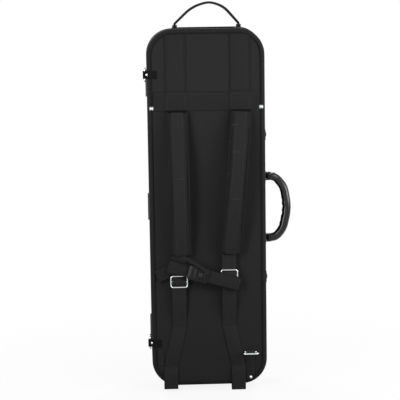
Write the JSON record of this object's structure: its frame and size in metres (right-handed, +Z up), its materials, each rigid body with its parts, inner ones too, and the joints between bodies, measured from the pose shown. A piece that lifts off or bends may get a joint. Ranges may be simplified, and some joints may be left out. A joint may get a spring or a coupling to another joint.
{
  "type": "violin case",
  "caption": "Upright oblong zip-closed violin case with backpack straps, waist belt, carry handles, rings, latches, a hinged lid and a violin-shaped bed inside.",
  "frame": {"origin": "middle of the whole's footprint, on the surface that the feet stand on", "axes": "+Z up along the case's length, +X towards the side carry handle, -Y out of the back panel"},
  "size_m": [0.3258, 0.1758, 0.8623],
  "materials": {
    "shell_board": "moulded board",
    "black_nylon": "plain woven nylon",
    "piping": "corded binding",
    "rubber": "moulded rubber",
    "zip": "coil zip tape",
    "steel": "plated steel",
    "webbing": "ribbed webbing",
    "chrome": "bright chrome plate",
    "strap_pad": "padded nylon",
    "black_plastic": "moulded",
    "latch_steel": "black lacquer",
    "leather_grip": "glazed leather",
    "plush": "short-pile plush"
  },
  "bodies": {
    "back_half": {"accessory_divider": "plush", "back_cover": "black_nylon", "back_feet": "rubber", "back_hinge_leaves": "steel", "back_pads": "plush", "back_piping": "piping", "back_shell": "shell_board", "back_zip_tape": "zip", "belt_plug": "black_plastic", "belt_socket": "black_plastic", "carry_handle_brackets": "steel", "corner_tabs": "black_nylon", "hinge_pins": "steel", "latch_bases": "black_plastic", "left_shoulder_strap": "strap_pad", "left_slide_buckle": "chrome", "left_waist_belt": "webbing", "left_webbing": "webbing", "neck_blocks": "plush", "neck_cradle": "plush", "neck_strap": "webbing", "right_shoulder_strap": "strap_pad", "right_slide_buckle": "chrome", "right_waist_belt": "webbing", "right_webbing": "webbing", "ring_tabs": "webbing", "rivets": "chrome", "side_compartment": "plush", "strap_anchors": "webbing", "strap_yoke": "webbing", "string_tube": "black_plastic", "top_handle_brackets": "steel", "violin_bed": "plush"},
    "lid": {"lid_shell": "shell_board", "lid_cover": "black_nylon", "lid_piping": "piping", "lid_feet": "rubber", "lid_zip_tape": "zip", "lid_hinge_leaves": "steel", "lid_lining": "plush", "spinner_bases": "black_plastic", "bow_tip_holders": "plush", "music_pocket": "black_nylon", "pocket_zip": "zip", "latch_strikes": "latch_steel"},
    "carry_handle": {"carry_handle": "leather_grip"},
    "top_handle": {"top_handle": "webbing"},
    "upper_side_ring": {"upper_side_ring": "chrome"},
    "lower_side_ring": {"lower_side_ring": "chrome"},
    "corner_ring": {"corner_ring": "chrome"},
    "lower_zip_slider": {"lower_zip_slider": "chrome"},
    "upper_zip_slider": {"upper_zip_slider": "chrome"},
    "lower_latch_thumb": {"lower_latch_thumb": "black_plastic"},
    "upper_latch_thumb": {"upper_latch_thumb": "black_plastic"},
    "lower_latch_hasp": {"lower_latch_hasp": "latch_steel"},
    "upper_latch_hasp": {"upper_latch_hasp": "latch_steel"},
    "compartment_flap": {"compartment_flap": "plush"},
    "left_bow_spinner": {"left_bow_spinner": "black_plastic"},
    "right_bow_spinner": {"right_bow_spinner": "black_plastic"},
    "pocket_zip_slider": {"pocket_zip_slider": "chrome"}
  },
  "joints": [
    {"name": "lid_hinge", "type": "hinge", "parent": "back_half", "child": "lid", "pos_m": [-0.15455, 0.02325, 0.409], "axis": [0, 0, 1], "range_deg": [0, 108]},
    {"name": "carry_handle_pivot", "type": "hinge", "parent": "back_half", "child": "carry_handle", "pos_m": [0.11145, -0.0189, 0.409], "axis": [0, 0, 1], "range_deg": [-68, 68]},
    {"name": "top_handle_pivot", "type": "hinge", "parent": "back_half", "child": "top_handle", "pos_m": [-0.02655, -0.0169, 0.809], "axis": [1, 0, 0], "range_deg": [-62, 62]},
    {"name": "upper_side_ring_pivot", "type": "hinge", "parent": "back_half", "child": "upper_side_ring", "pos_m": [-0.15875, -0.0469, 0.707], "axis": [0, 0, 1], "range_deg": [0, 150]},
    {"name": "lower_side_ring_pivot", "type": "hinge", "parent": "back_half", "child": "lower_side_ring", "pos_m": [-0.15875, -0.0469, 0.113], "axis": [0, 0, 1], "range_deg": [0, 150]},
    {"name": "corner_ring_pivot", "type": "hinge", "parent": "back_half", "child": "corner_ring", "pos_m": [0.06395, -0.0592, 0.089], "axis": [1, 0, 0], "range_deg": [-80, 80]},
    {"name": "lower_zip_slide", "type": "slide", "parent": "back_half", "child": "lower_zip_slider", "axis": [0, 0, -1], "range_m": [0, 0.1]},
    {"name": "upper_zip_slide", "type": "slide", "parent": "back_half", "child": "upper_zip_slider", "axis": [0, 0, 1], "range_m": [0, 0.1]},
    {"name": "lower_thumb_slide", "type": "slide", "parent": "back_half", "child": "lower_latch_thumb", "axis": [0, -1, 0], "range_m": [0, 0.007], "stiffness_N_per_m": 60},
    {"name": "upper_thumb_slide", "type": "slide", "parent": "back_half", "child": "upper_latch_thumb", "axis": [0, -1, 0], "range_m": [0, 0.007], "stiffness_N_per_m": 60},
    {"name": "lower_hasp_pivot", "type": "hinge", "parent": "lid", "child": "lower_latch_hasp", "pos_m": [0.10645, 0.0381, 0.249], "axis": [0, 0, 1], "range_deg": [0, 100]},
    {"name": "upper_hasp_pivot", "type": "hinge", "parent": "lid", "child": "upper_latch_hasp", "pos_m": [0.10645, 0.0381, 0.569], "axis": [0, 0, 1], "range_deg": [0, 100]},
    {"name": "compartment_flap_pivot", "type": "hinge", "parent": "back_half", "child": "compartment_flap", "pos_m": [-0.10815, 0.0159, 0.5427], "axis": [0, 0, -1], "range_deg": [0, 85]},
    {"name": "left_bow_spinner_turn", "type": "hinge", "parent": "lid", "child": "left_bow_spinner", "pos_m": [-0.08155, 0.06, 0.692], "axis": [0, 1, 0], "range_deg": [0, 90]},
    {"name": "right_bow_spinner_turn", "type": "hinge", "parent": "lid", "child": "right_bow_spinner", "pos_m": [0.02845, 0.06, 0.692], "axis": [0, 1, 0], "range_deg": [-90, 0]},
    {"name": "pocket_zip_slide", "type": "slide", "parent": "lid", "child": "pocket_zip_slider", "axis": [1, 0, 0], "range_m": [0, 0.13]}
  ]
}
